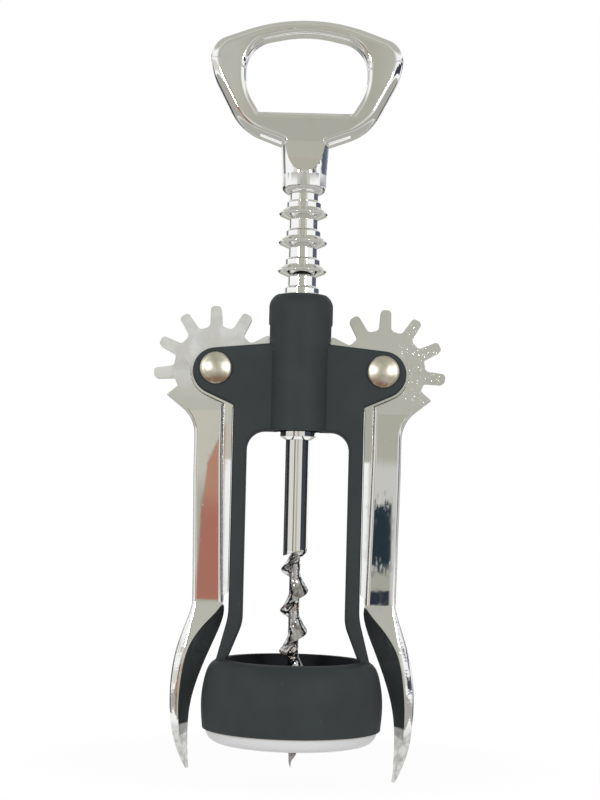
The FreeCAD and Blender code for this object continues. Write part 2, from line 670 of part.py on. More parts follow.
def handle_socket():
    """Round socket with two flats that scoop out to the band at its mouth."""
    edge_top = SOCKET_BOTTOM_Z + SOCKET_EDGE_HEIGHT
    edge = [(STEM_R + 0.3, SOCKET_BOTTOM_Z)]
    edge.append((SOCKET_R - 0.5, SOCKET_BOTTOM_Z + 0.35 * SOCKET_EDGE_HEIGHT))
    edge.append((SOCKET_R, edge_top))
    profile = [(0, SOCKET_BOTTOM_Z), edge, (SOCKET_R, SOCKET_BAND_TOP_Z), (SOCKET_TOP_R, HANDLE_WAIST_Z)]
    profile += [(SOCKET_TOP_R - 1.0, HANDLE_WAIST_Z + 3.0), (0, HANDLE_WAIST_Z + 4.5)]
    socket = turned(profile)
    front = HANDLE_DEPTH / 2.0
    out = 2.0 * SOCKET_R
    scoop_top = (front, HANDLE_WAIST_Z + SCOOP_RISE)
    scoop_end = (SOCKET_R + 0.1, SOCKET_BAND_TOP_Z)
    beside = [(front, HANDLE_WAIST_Z + 6.0), hollow_arc(scoop_top, scoop_end, SCOOP_HOLLOW)]
    beside += [(out, SOCKET_BAND_TOP_Z - 0.5), (out, HANDLE_WAIST_Z + 6.0)]
    for cutter in (beside, flipped(beside)):
        socket = socket.cut(side_prism(cutter, out))
    return socket


def handle():
    """Key handle with the crown cap opener and the spindle's socket."""
    bore_r = STEM_R + SOCKET_CLEARANCE
    bore = Part.makeCylinder(bore_r, SOCKET_DEPTH + 1.0, vec(0, 0, SOCKET_BOTTOM_Z - 1.0))
    hole = y_cylinder(HANDLE_PIN_R + SOCKET_CLEARANCE, 0, HANDLE_PIN_Z, -STEM_R - 0.3, SOCKET_R + 0.5)
    return handle_loop().fuse(handle_socket()).cut([bore, hole]).removeSplitter()


def build():
    """Every piece under its node name."""
    rivet = right_rivet()
    cap = right_rivet_cap()
    return {
        "body_frame": body_frame(),
        "bottle_ring": bottle_ring(),
        "left_lever": mirrored(right_lever(LEFT_PADDLE_LENGTH)),
        "right_lever": right_lever(RIGHT_PADDLE_LENGTH),
        "left_rivet": mirrored(rivet),
        "right_rivet": rivet,
        "left_rivet_cap": mirrored(cap),
        "right_rivet_cap": cap,
        "handle": handle(),
        "handle_pin": handle_pin(),
        "rack": rack(),
        "shank_collar": shank_collar(),
        "worm": worm(),
    }


os.makedirs("parts", exist_ok=True)
for name, solid in build().items():
    solid.exportStep(f"parts/{name}.step")
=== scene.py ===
"""Finishes, fine meshes, studio and camera of the wing corkscrew."""

import logging
import math
from dataclasses import dataclass
from enum import Enum
from typing import Mapping, Optional, Sequence, Union

import bmesh
import bpy
from mathutils import Matrix, Vector


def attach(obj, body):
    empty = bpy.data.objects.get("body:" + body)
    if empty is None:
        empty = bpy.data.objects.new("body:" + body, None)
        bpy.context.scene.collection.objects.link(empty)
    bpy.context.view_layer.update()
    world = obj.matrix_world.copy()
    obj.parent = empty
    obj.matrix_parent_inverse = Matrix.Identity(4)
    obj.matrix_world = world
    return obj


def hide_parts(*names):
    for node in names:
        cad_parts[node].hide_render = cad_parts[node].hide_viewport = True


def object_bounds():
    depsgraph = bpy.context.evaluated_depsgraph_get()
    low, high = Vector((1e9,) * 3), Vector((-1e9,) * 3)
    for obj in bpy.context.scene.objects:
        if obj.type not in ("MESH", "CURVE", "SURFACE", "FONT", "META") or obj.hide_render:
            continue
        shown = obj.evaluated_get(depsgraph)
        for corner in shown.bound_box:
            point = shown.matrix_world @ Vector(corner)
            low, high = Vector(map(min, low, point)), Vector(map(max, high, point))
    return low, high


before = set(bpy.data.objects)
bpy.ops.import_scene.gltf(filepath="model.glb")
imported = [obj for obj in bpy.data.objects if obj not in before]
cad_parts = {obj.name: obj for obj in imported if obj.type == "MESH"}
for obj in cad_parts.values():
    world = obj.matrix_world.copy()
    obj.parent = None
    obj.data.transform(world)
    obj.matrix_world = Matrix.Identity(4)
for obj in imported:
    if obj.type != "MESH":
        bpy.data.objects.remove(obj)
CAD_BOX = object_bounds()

LOG = logging.getLogger("corkscrew")
MM = 0.001
SHARP_DEG = 34.0

Colour = tuple[float, float, float]
Pair = tuple[float, float]
Point3 = tuple[float, float, float]
Corner = tuple[float, float, float]
Socket = bpy.types.NodeSocket

WHITE: Colour = (1.0, 1.0, 1.0)
OLIVE: Colour = (0.437, 0.437, 0.375)
BROWN: Colour = (0.47, 0.25, 0.18)
ALL_ROUND: Pair = (-190.0, 190.0)
SMALLEST_SPECK = 0.3
SPECK_CORE = 0.45
SPECK_CUT = 0.98


# ---- shader maths


class Signal:
    """A number that changes over a surface, with shader maths as operators."""

    def __init__(self, pad: "NodePad", socket: Socket) -> None:
        """Wraps an output socket, with the pad that new Math nodes go on."""
        self.pad = pad
        self.socket = socket

    def _math(self, operation: str, first: "Operand", second: "Operand") -> "Signal":
        """Adds one Math node.

        Args:
            operation: Blender's name of the operation.
            first: First operand.
            second: Second operand.

        Returns:
            The result as a new signal.
        """
        values = {"0": first, "1": second}
        node = self.pad.node("ShaderNodeMath", {"operation": operation}, values)
        return Signal(self.pad, node.outputs[0])

    def __add__(self, other: "Operand") -> "Signal":
        """Sum."""
        return self._math("ADD", self, other)

    def __radd__(self, other: "Operand") -> "Signal":
        """Sum with a number on the left."""
        return self._math("ADD", other, self)

    def __sub__(self, other: "Operand") -> "Signal":
        """Difference."""
        return self._math("SUBTRACT", self, other)

    def __rsub__(self, other: "Operand") -> "Signal":
        """Difference from a number on the left."""
        return self._math("SUBTRACT", other, self)

    def __mul__(self, other: "Operand") -> "Signal":
        """Product."""
        return self._math("MULTIPLY", self, other)

    def __rmul__(self, other: "Operand") -> "Signal":
        """Product with a number on the left."""
        return self._math("MULTIPLY", other, self)

    def __truediv__(self, other: "Operand") -> "Signal":
        """Quotient."""
        return self._math("DIVIDE", self, other)

    def __rtruediv__(self, other: "Operand") -> "Signal":
        """Quotient of a number on the left."""
        return self._math("DIVIDE", other, self)

    def __pow__(self, other: "Operand") -> "Signal":
        """Power."""
        return self._math("POWER", self, other)

    def __neg__(self) -> "Signal":
        """Opposite number."""
        return self._math("MULTIPLY", self, -1.0)

    def least(self, other: "Operand") -> "Signal":
        """The smaller of both."""
        return self._math("MINIMUM", self, other)

    def most(self, other: "Operand") -> "Signal":
        """The larger of both."""
        return self._math("MAXIMUM", self, other)

    def bearing(self, ahead: "Operand") -> "Signal":
        """Angle in degrees from the line ahead to this way across."""
        return self._math("ARCTAN2", self, ahead) * math.degrees(1.0)

    def climb(self) -> "Signal":
        """Angle in degrees whose sine this is."""
        return self._math("ARCSINE", self, 0.0) * math.degrees(1.0)

    def between(self, low: float, high: float) -> "Signal":
        """Smooth mask.

        Args:
            low: Where the mask is 0.
            high: Where the mask is 1. It may be the smaller number.

        Returns:
            A mask from 0 to 1.
        """
        if low > high:
            return 1.0 - self.between(high, low)
        settings = {"interpolation_type": "SMOOTHSTEP"}
        values = {"Value": self, "From Min": low, "From Max": high}
        node = self.pad.node("ShaderNodeMapRange", settings, values)
        return Signal(self.pad, node.outputs[0])

    def inside(self, low: float, high: float, soft: float) -> "Signal":
        """Smooth mask that is 1 from low to high and fades over the soft width at each end."""
        half = soft / 2.0
        return self.between(low - half, low + half) * self.between(high + half, high - half)

    def around(self, middle: float, spread: float) -> "Signal":
        """A pattern from 0 to 1 as a number that spreads evenly about a middle."""
        return self * spread + (middle - spread / 2.0)


Operand = Union[Signal, float]


class NodePad:
    """Node tree of one material or of the world."""

    def __init__(self, tree: bpy.types.NodeTree) -> None:
        """Empties the tree, to fill it anew."""
        self.tree = tree
        tree.nodes.clear()

    def node(self, kind: str, settings: Mapping[str, object],
             values: Mapping[str, object]) -> bpy.types.Node:
        """Adds a node, its settings first and then its inputs.

        Args:
            kind: Blender's type name.
            settings: Properties of the node.
            values: Inputs by name, identifier or number. A value is a number, a colour, a signal
                or a socket.

        Returns:
            The new node.
        """
        made = self.tree.nodes.new(kind)
        for name, value in settings.items():
            setattr(made, name, value)
        for name, value in values.items():
            self._feed(self._input(made, name), value)
        return made

    @staticmethod
    def _input(node: bpy.types.Node, name: str) -> Socket:
        """Finds an input socket by its number, its identifier or its name."""
        known = {socket.identifier: socket for socket in node.inputs}
        return node.inputs[int(name)] if name.isdigit() else known.get(name) or node.inputs[name]

    def _feed(self, socket: Socket, value: object) -> None:
        """Links or sets one input.

        Args:
            socket: Input socket.
            value: A signal, an output socket, a number, a colour or a vector.
        """
        source = value.socket if isinstance(value, Signal) else value
        if isinstance(source, Socket):
            self.tree.links.new(source, socket)
        else:
            socket.default_value = (*source, 1.0) if socket.type == "RGBA" else source

    def place(self) -> Socket:
        """Position on the piece, in metres of the object's own frame."""
        return self.node("ShaderNodeTexCoord", {}, {}).outputs["Object"]

    def parts_of(self, vector: Socket) -> list[Signal]:
        """X, Y and Z of a vector."""
        split = self.node("ShaderNodeSeparateXYZ", {}, {"Vector": vector})
        return [Signal(self, socket) for socket in split.outputs]

    def blend(self, mask: Operand, first: object, second: object) -> Socket:
        """Mixes two colours.

        Args:
            mask: 0 for the first, 1 for the second.
            first: Colour or socket.
            second: Colour or socket.

        Returns:
            The mixed colour's socket.
        """
        values = {"Factor_Float": mask, "A_Color": first, "B_Color": second}
        node = self.node("ShaderNodeMix", {"data_type": "RGBA"}, values)
        return [socket for socket in node.outputs if socket.identifier == "Result_Color"][0]

    def bump(self, height: Signal, distance: float, strength: float = 1.0,
             normal: Optional[Socket] = None) -> Socket:
        """Bump of a height signal.

        Args:
            height: Height from 0 to 1.
            distance: Real height of 1, in metres.
            strength: Share of the effect.
            normal: Normal of another bump below this one.

        Returns:
            The normal's socket.
        """
        values = {"Height": height, "Distance": distance, "Strength": strength}
        values |= {"Normal": normal} if normal else {}
        return self.node("ShaderNodeBump", {}, values).outputs[0]


def new_material(name: str) -> tuple[bpy.types.Material, NodePad]:
    """Starts a material.

    Args:
        name: Name of the material.

    Returns:
        The material and its empty pad.
    """
    material = bpy.data.materials.new(name)
    material.use_nodes = True
    return material, NodePad(material.node_tree)


@dataclass(frozen=True)
class Cloud:
    """Cloudy pattern: blobs per metre, octaves, span of its mask and share of finer octaves."""

    scale: float
    detail: float
    span: Pair = (0.0, 1.0)
    roughness: float = 0.5

    def pattern(self, pad: NodePad, place: Optional[Socket] = None) -> Signal:
        """Adds the bare pattern.

        Args:
            pad: Pad that it goes on.
            place: Position socket, or None for the piece's own.

        Returns:
            The pattern from 0 to 1.
        """
        values = {"Vector": place or pad.place(), "Scale": self.scale}
        values |= {"Detail": self.detail, "Roughness": self.roughness}
        return Signal(pad, pad.node("ShaderNodeTexNoise", {}, values).outputs[0])

    def mask(self, pad: NodePad) -> Signal:
        """The pattern sharpened to a mask over its span."""
        return self.pattern(pad).between(*self.span)


@dataclass(frozen=True)
class Specks:
    """Round specks: cells per metre, radius in cells, and part of the cells that hold one."""

    scale: float
    size: float
    share: float

    def mask(self, pad: NodePad) -> Signal:
        """Adds the specks.

        Args:
            pad: Pad that they go on.

        Returns:
            A mask that is 1 inside a speck.
        """
        values = {"Vector": pad.place(), "Scale": self.scale, "Randomness": 1.0}
        cells = pad.node("ShaderNodeTexVoronoi", {"feature": "F1"}, values)
        distance = Signal(pad, cells.outputs["Distance"])
        chance, other, _ = pad.parts_of(cells.outputs["Color"])
        swell = other * (1.0 - SMALLEST_SPECK) + SMALLEST_SPECK
        inside = (distance / swell).between(self.size, self.size * SPECK_CORE)
        return inside * chance.between(self.share, self.share * SPECK_CUT)


# ---- finishes


class Finish(Enum):
    """Finishes of the tool. The first word of each value is the record's slot."""

    CLOUDED = "chrome_plate clouded"
    BLISTERED = "chrome_plate blistered"
    TURNED = "chrome_plate turned"
    HANDLE = "chrome_plate handle"
    WORM = "chrome_plate worm"
    NICKEL = "nickel_satin"
    SOFT_TOUCH = "soft_touch"
    RING = "ring_plastic"

    @property
    def slot(self) -> str:
        """The record's material slot."""
        return self.value.split()[0]


class Coating:
    """A finish that gives the inputs of one surface shader."""

    def inputs(self, pad: NodePad) -> dict[str, object]:
        """The shader's inputs by name."""
        raise NotImplementedError

    def build(self, name: str) -> bpy.types.Material:
        """Makes the material.

        Args:
            name: Name of the material.

        Returns:
            The material.
        """
        material, pad = new_material(name)
        shader = pad.node("ShaderNodeBsdfPrincipled", {}, self.inputs(pad))
        pad.node("ShaderNodeOutputMaterial", {}, {"Surface": shader.outputs[0]})
        return material


@dataclass(frozen=True)
class ChromePlate(Coating):
    """Bright plate over a casting, with a breath of haze, a few pinholes and soft edges.

    A pair of heights runs from where its mask is 0 to where it is 1. Below crisp_z the edges keep
    only the crisp share of their softness. A pair of turns does the same for the view's slant.
    """

    colour: Colour = (0.90, 0.90, 0.885)
    haze_colour: Colour = (0.86, 0.86, 0.84)
    haze: Cloud = Cloud(260.0, 4.0, (0.50, 0.80))
    roughness: float = 0.012
    haze_roughness: float = 0.035
    edge_turn: Pair = (0.04, 0.34)
    edge_roughness: float = 0.38
    crisp_z: Pair = (33.0 * MM, 38.0 * MM)
    crisp_share: float = 0.25
    # The plate turns darker and blotchy towards the paddle tips.
    tip_z: Pair = (6.5 * MM, 1.5 * MM)
    tip_blotches: Cloud = Cloud(520.0, 3.0, (0.36, 0.64))
    tip_colour: Colour = (0.66, 0.655, 0.635)
    dark_tip_colour: Colour = (0.40, 0.395, 0.38)
    waves: Cloud = Cloud(60.0, 1.0)
    wave_height: float = 0.000004
    pinholes: Specks = Specks(700.0, 0.16, 0.05)
    pinhole_depth: float = 0.00002
    pinhole_strength: float = 0.5
    cloud_bare: float = 0.0
    cloud: Cloud = Cloud(240.0, 4.0, (0.30, 0.66))
    cloud_least: float = 0.4
    cloud_z: Pair = (82.0 * MM, 94.0 * MM)
    cloud_roughness: float = 0.05
    blisters: bool = False
    blister_colour: Colour = (0.95, 0.95, 0.97)
    blister_cluster: Cloud = Cloud(170.0, 2.0, (0.38, 0.56))
    large_blisters: Specks = Specks(1500.0, 0.42, 0.50)
    small_blisters: Specks = Specks(2600.0, 0.40, 0.42)
    blister_x: Pair = (21.0 * MM, 27.0 * MM)
    blister_z: Pair = (80.0 * MM, 89.0 * MM)
    blister_bare: float = 0.75
    blister_roughness: float = 0.35
    blister_height: float = 0.00004
    blister_strength: float = 0.8

    def inputs(self, pad: NodePad) -> dict[str, object]:
        """Works out the shader's inputs.

        Args:
            pad: Pad of the material.

        Returns:
            Inputs by name.
        """
        _, _, up = pad.parts_of(pad.place())
        haze = self.haze.mask(pad)
        # Darker, blotchy colour towards the bottom of the paddles.
        tip = pad.blend(self.tip_blotches.mask(pad), self.tip_colour, self.dark_tip_colour)
        colour = pad.blend(haze, self.colour, self.haze_colour)
        colour = pad.blend(up.between(*self.tip_z), colour, tip)
        rough = haze * (self.haze_roughness - self.roughness) + self.roughness
        rough = rough + self._edge(pad, up) * self.edge_roughness
        normal = pad.bump(self.waves.pattern(pad), self.wave_height)
        holes = 1.0 - self.pinholes.mask(pad)
        normal = pad.bump(holes, self.pinhole_depth, self.pinhole_strength, normal)
        metallic: Operand = 1.0
        if self.cloud_bare:
            share = self.cloud.mask(pad) * (1.0 - self.cloud_least) + self.cloud_least
            cloud = up.between(*self.cloud_z) * share
            colour = pad.blend(cloud, colour, self.blister_colour)
            rough = rough + cloud * self.cloud_roughness
            metallic = 1.0 - cloud * self.cloud_bare
        if self.blisters:
            mask = self._blister_mask(pad)
            colour = pad.blend(mask, colour, self.blister_colour)
            rough = rough + mask * self.blister_roughness
            metallic = 1.0 - mask * self.blister_bare
            normal = pad.bump(mask, self.blister_height, self.blister_strength, normal)
        values = {"Base Color": colour, "Metallic": metallic}
        return values | {"Roughness": rough, "Normal": normal}

    def _edge(self, pad: NodePad, up: Signal) -> Signal:
        """Mask of the faces that turn away, which is weaker on the crisp paddles.

        Args:
            pad: Pad of the material.
            up: Height on the piece in metres.

        Returns:
            A mask from 0 to 1.
        """
        turn = Signal(pad, pad.node("ShaderNodeLayerWeight", {}, {}).outputs["Facing"])
        softness = up.between(*self.crisp_z) * (1.0 - self.crisp_share) + self.crisp_share
        return turn.between(*self.edge_turn) * softness

    def _blister_mask(self, pad: NodePad) -> Signal:
        """Clusters of small blisters in the plate near the outer teeth.

        Args:
            pad: Pad of the material.

        Returns:
            A mask that is 1 on a blister.
        """
        across, _, up = pad.parts_of(pad.place())
        zone = across.between(*self.blister_x) * up.between(*self.blister_z)
        specks = self.large_blisters.mask(pad).most(self.small_blisters.mask(pad))
        return zone * self.blister_cluster.mask(pad) * specks


@dataclass(frozen=True)
class WormPlate(Coating):
    """Bright plate on the plain shank, thin and dull over the rough twisted worm below it."""

    colour: Colour = (0.90, 0.90, 0.885)
    worm_colour: Colour = (0.62, 0.62, 0.63)
    dull_colour: Colour = (0.22, 0.205, 0.20)
    bare_colour: Colour = (0.42, 0.23, 0.16)
    dullness: Cloud = Cloud(420.0, 4.0, (0.46, 0.66))
    bareness: Cloud = Cloud(760.0, 3.0, (0.62, 0.68))
    worm_start_z: Pair = (47.6 * MM, 45.8 * MM)
    roughness: float = 0.015
    worm_roughness: float = 0.06
    dull_roughness: float = 0.18
    tip_z: Pair = (6.0 * MM, 0.0)
    tip_dullness: float = 0.85
    ripples: Cloud = Cloud(620.0, 2.0)
    ripple_height: float = 0.00020
    pits: Specks = Specks(700.0, 0.16, 0.05)
    pit_depth: float = 0.00002
    pit_strength: float = 0.5

    def inputs(self, pad: NodePad) -> dict[str, object]:
        """Works out the shader's inputs.

        Args:
            pad: Pad of the material.

        Returns:
            Inputs by name.
        """
        _, _, up = pad.parts_of(pad.place())
        twisted = up.between(*self.worm_start_z)
        dull = self.dullness.mask(pad).most(up.between(*self.tip_z) * self.tip_dullness)
        plate = pad.blend(dull, self.worm_colour, self.dull_colour)
        plate = pad.blend(self.bareness.mask(pad), plate, self.bare_colour)
        dull_step = self.dull_roughness - self.worm_roughness
        thin = dull * dull_step + (self.worm_roughness - self.roughness)
        normal = pad.bump(self.ripples.pattern(pad) * twisted, self.ripple_height)
        holes = 1.0 - self.pits.mask(pad)
        return {
            "Base Color": pad.blend(twisted, self.colour, plate),
            "Metallic": 1.0,
            "Roughness": twisted * thin + self.roughness,
            "Normal": pad.bump(holes, self.pit_depth, self.pit_strength, normal),
        }


@dataclass(frozen=True)
class SatinNickel(Coating):
    """Tumbled satin nickel of the rivets and the pin, brown on its lower side: partly tarnish,
    partly a painted reflection of the brown that the lower side mirrors.
    """

    colour: Colour = (0.60, 0.565, 0.47)
    worn_colour: Colour = (0.70, 0.67, 0.58)
    # Brown on the lower side of the heads: partly tarnish, partly a painted reflection of the brown
    # below.
    tarnish_and_reflection_colour: Colour = (0.40, 0.26, 0.18)
    wear: Cloud = Cloud(700.0, 4.0, (0.35, 0.70))
    tarnish_and_reflection: Cloud = Cloud(420.0, 3.0, (0.32, 0.56))
    tarnish_and_reflection_z: Pair = (90.6 * MM, 88.6 * MM)
    roughness: float = 0.34
    roughness_spread: float = 0.10
    grain: Cloud = Cloud(9000.0, 2.0)
    grain_height: float = 0.000003

    def inputs(self, pad: NodePad) -> dict[str, object]:
        """Works out the shader's inputs.

        Args:
            pad: Pad of the material.

        Returns:
            Inputs by name.
        """
        _, _, up = pad.parts_of(pad.place())
        wear = self.wear.pattern(pad)
        # Mask of the brown on the lower side, partly tarnish and partly painted reflection.
        tarnish_and_reflection = up.between(*self.tarnish_and_reflection_z) * self.tarnish_and_reflection.mask(pad)
        metal = pad.blend(wear.between(*self.wear.span), self.colour, self.worn_colour)
        return {
            "Base Color": pad.blend(tarnish_and_reflection, metal, self.tarnish_and_reflection_colour),
            "Metallic": 1.0,
            "Roughness": wear.around(self.roughness, self.roughness_spread),
            "Normal": pad.bump(self.grain.pattern(pad), self.grain_height),
        }


@dataclass(frozen=True)
class SoftTouchPaint(Coating):
    """Matt charcoal paint with a rubbery feel and clinging dust, and painted shade that darkens it
    inside the bell's mouth.
    """

    colour: Colour = (0.034, 0.041, 0.043)
    rubbed_colour: Colour = (0.040, 0.048, 0.050)
    rubbing: Cloud = Cloud(120.0, 4.0, (0.30, 0.75))
    dust_colour: Colour = (0.24, 0.27, 0.27)
    large_dust: Specks = Specks(300.0, 0.075, 0.10)
    small_dust: Specks = Specks(900.0, 0.13, 0.02)
    dust_cover: float = 0.7
    dust_roughness: float = 0.2
    # Painted shade: near black inside the bell's mouth, where shade falls.
    mouth_shade_colour: Colour = (0.008, 0.009, 0.013)
    mouth_shade_r: Pair = (17.3 * MM, 16.3 * MM)
    mouth_shade_z: Pair = (21.5 * MM, 20.6 * MM)
    roughness: float = 0.58
    roughness_spread: float = 0.10
    specular: float = 0.2
    grain: Cloud = Cloud(5200.0, 2.0)
    grain_height: float = 0.000008

    def inputs(self, pad: NodePad) -> dict[str, object]:
        """Works out the shader's inputs.

        Args:
            pad: Pad of the material.

        Returns:
            Inputs by name.
        """
        across, along, up = pad.parts_of(pad.place())
        rubbing = self.rubbing.pattern(pad)
        dust = self.large_dust.mask(pad).most(self.small_dust.mask(pad))
        radius = (across * across + along * along) ** 0.5
        # Mask of the painted shade inside the bell's mouth.
        mouth = radius.between(*self.mouth_shade_r) * up.between(*self.mouth_shade_z)
        paint = pad.blend(rubbing.between(*self.rubbing.span), self.colour, self.rubbed_colour)
        paint = pad.blend(mouth, paint, self.mouth_shade_colour)
        rough = rubbing.around(self.roughness, self.roughness_spread)
        return {
            "Base Color": pad.blend(dust * self.dust_cover, paint, self.dust_colour),
            "Roughness": rough + dust * self.dust_roughness,
            "Normal": pad.bump(self.grain.pattern(pad), self.grain_height),
            "Specular IOR Level": self.specular,
        }


@dataclass(frozen=True)
class RingPlastic(Coating):
    """Light grey moulded plastic of the bottle ring, with a tanned upper edge."""

    colour: Colour = (0.80, 0.80, 0.81)
    worn_colour: Colour = (0.74, 0.74, 0.745)
    wear: Cloud = Cloud(200.0, 3.0)
    wear_cover: float = 0.4
    tan_colour: Colour = (0.50, 0.44, 0.33)
    tan_cover: float = 0.9
    tan_z: Pair = (3.1 * MM, 3.5 * MM)
    roughness: float = 0.36
    roughness_spread: float = 0.12
    grain: Cloud = Cloud(2500.0, 2.0)
    grain_height: float = 0.000006

    def inputs(self, pad: NodePad) -> dict[str, object]:
        """Works out the shader's inputs.

        Args:
            pad: Pad of the material.

        Returns:
            Inputs by name.
        """
        _, _, up = pad.parts_of(pad.place())
        wear = self.wear.pattern(pad)
        tan = up.between(*self.tan_z) * self.tan_cover
        moulded = pad.blend(wear * self.wear_cover, self.colour, self.worn_colour)
        return {
            "Base Color": pad.blend(tan, moulded, self.tan_colour),
            "Roughness": wear.around(self.roughness, self.roughness_spread),
            "Normal": pad.bump(self.grain.pattern(pad), self.grain_height),
        }


class Paintbox:
    """All finishes, each made once, and the two ways to give a piece its own."""

    def __init__(self) -> None:
        """Makes the materials."""
        handle = ChromePlate(edge_turn=(0.35, 0.80), edge_roughness=0.20)
        turned = ChromePlate(edge_turn=(0.60, 0.90), edge_roughness=0.22)
        self.materials = {
            Finish.CLOUDED: ChromePlate(cloud_bare=0.40).build("clouded_chrome"),
            Finish.BLISTERED: ChromePlate(blisters=True).build("blistered_chrome"),
            Finish.HANDLE: handle.build("handle_chrome"),
            Finish.TURNED: turned.build("turned_chrome"),
            Finish.WORM: WormPlate().build("worm_chrome"),
            Finish.NICKEL: SatinNickel().build("satin_nickel"),
            Finish.SOFT_TOUCH: SoftTouchPaint().build("soft_touch_paint"),
            Finish.RING: RingPlastic().build("ring_plastic"),
        }

    def dress(self, node: str, finish: Finish) -> None:
        """Dresses a node whose solid already has the right form.

        Args:
            node: Name of the node.
            finish: Its finish.
        """
        self._paint(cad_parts[node], finish)
        LOG.info("dressed %s", node)

    def fit(self, mesh: bpy.types.Mesh, node: str, body: str, finish: Finish) -> None:
        """Puts a fine mesh in a node's place.

        Args:
            mesh: Mesh in the frame of the whole tool.
            node: Node that it stands for.
            body: Body that it rides on.
            finish: Its finish.
        """
        piece = bpy.data.objects.new(mesh.name, mesh)
        bpy.context.scene.collection.objects.link(piece)
        self._paint(piece, finish)
        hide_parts(node)
        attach(piece, body)
        LOG.info("made %s", piece.name)

    def _paint(self, piece: bpy.types.Object, finish: Finish) -> None:
        """Gives a piece its material."""
        piece.data.materials.clear()
        piece.data.materials.append(self.materials[finish])


# ---- mesh making


@dataclass
class Turning:
    """Surface of revolution about Z, drawn as the corners of its half section in millimetres.

    A corner is (radius, height, rounding). A section that starts on the axis also ends on it and is
    a full form. Any other one closes on itself round a bore. Support is how far past each end of
    an arc one more row of points lies.
    """

    corners: Sequence[Corner]
    segments: int = 112
    round_steps: int = 5
    support: float = 0.03

    def build(self, name: str) -> bpy.types.Mesh:
        """Spins the section.

        Args:
            name: Name of the mesh.

        Returns:
            The mesh in metres.
        """
        outline = self._outline()
        bored = outline[0].x > 0.0
        shape = bmesh.new()
        rows = [self._row(shape, point) for point in outline]
        pairs = list(zip(rows, rows[1:]))
        if bored:
            pairs.append((rows[-1], rows[0]))
        for low, high in pairs:
            for index in range(self.segments):
                following = (index + 1) % self.segments
                ring = [low[index % len(low)], low[following % len(low)],
                        high[following % len(high)], high[index % len(high)]]
                shape.faces.new(list(dict.fromkeys(ring)))
        bmesh.ops.recalc_face_normals(shape, faces=shape.faces[:])
        mesh = bpy.data.meshes.new(name)
        shape.to_mesh(mesh)
        shape.free()
        for face in mesh.polygons:
            face.use_smooth = True
        mesh.set_sharp_from_angle(angle=math.radians(SHARP_DEG))
        return mesh

    def _row(self, shape: bmesh.types.BMesh, point: Vector) -> list[bmesh.types.BMVert]:
        """Makes the vertices of one turned circle.

        Args:
            shape: Mesh under construction.
            point: Radius and height in millimetres.

        Returns:
            The circle's vertices, or one vertex on the axis.
        """
        if point.x <= 0.0:
            return [shape.verts.new((0.0, 0.0, point.y * MM))]
        row = []
        for index in range(self.segments):
            angle = math.tau * index / self.segments
            across = point.x * math.cos(angle) * MM
            along = point.x * math.sin(angle) * MM
            row.append(shape.verts.new((across, along, point.y * MM)))
        return row

    def _outline(self) -> list[Vector]:
        """Works out the section with its corners rounded.

        Returns:
            Points of radius and height.
        """
        points: list[Vector] = []
        count = len(self.corners)
        for index, (radius, height, rounding) in enumerate(self.corners):
            here = Vector((radius, height))
            if rounding <= 0.0:
                points.append(here)
                continue
            before = Vector(self.corners[index - 1][:2])
            after = Vector(self.corners[(index + 1) % count][:2])
            points += self._rounded(before, here, after, rounding)
        return points

    def _rounded(self, before: Vector, here: Vector, after: Vector,
                 rounding: float) -> list[Vector]:
        """Rounds one corner, with a support point on each side of the arc.

        Args:
            before: Corner before this one.
            here: Corner to round.
            after: Corner after this one.
            rounding: Radius of the arc.

        Returns:
            The points that stand for the corner.
        """
        to_before = (before - here).normalized()
        to_after = (after - here).normalized()
        half = to_before.angle(to_after) / 2.0
        reach = rounding / math.tan(half)
        centre = here + (to_before + to_after).normalized() * (rounding / math.sin(half))
        start = here + to_before * reach
        end = here + to_after * reach
        first = math.atan2(start.y - centre.y, start.x - centre.x)
        sweep = math.remainder(math.atan2(end.y - centre.y, end.x - centre.x) - first, math.tau)
        points = [start + to_before * self.support]
        for step in range(self.round_steps + 1):
            angle = first + sweep * step / self.round_steps
            points.append(centre + Vector((math.cos(angle), math.sin(angle))) * rounding)
        points.append(end + to_after * self.support)
        return points


# ---- sub-assemblies


@dataclass
class FrameCasting:
    """Body with its tower, ears, struts and bell, and the ring pressed into the bell's mouth."""

    seat_r: float = 17.3
    outer_r: float = 21.3
    lip_height: float = 3.6
    lip_bulge: float = 0.2651625
    lip_outward: Pair = (0.669, -0.743)
    lip_steps: int = 10
    spigot_r: float = 18.5
    spigot_top_z: float = 12.0
    spigot_round: float = 0.3
    bore_r: float = 15.75
    bore_round: float = 0.45

    def build(self, paintbox: Paintbox) -> None:
        """Dresses the casting and makes its ring.

        Args:
            paintbox: The finishes.
        """
        paintbox.dress("body_frame", Finish.SOFT_TOUCH)
        mesh = Turning(self._ring_section()).build("bottle_seat_ring")
        paintbox.fit(mesh, "bottle_ring", "frame", Finish.RING)

    def _ring_section(self) -> list[Corner]:
        """Section of the ring: bore, rolled lip and spigot.

        Returns:
            Corners of the section.
        """
        reach = self.outer_r - self.seat_r
        out_r, out_z = self.lip_outward
        corners = [(self.bore_r, 0.0, self.bore_round), (self.seat_r, 0.0, 0.0)]
        for step in range(1, self.lip_steps):
            share = step / self.lip_steps
            bulge = math.sin(share * math.pi) * self.lip_bulge * reach
            radius = self.seat_r + share * reach + bulge * out_r
            corners.append((radius, share * self.lip_height + bulge * out_z, 0.0))
        corners += [(self.outer_r, self.lip_height, 0.0), (self.spigot_r, self.lip_height, 0.0)]
        corners.append((self.spigot_r, self.spigot_top_z, self.spigot_round))
        return corners + [(self.bore_r, self.spigot_top_z, self.spigot_round)]


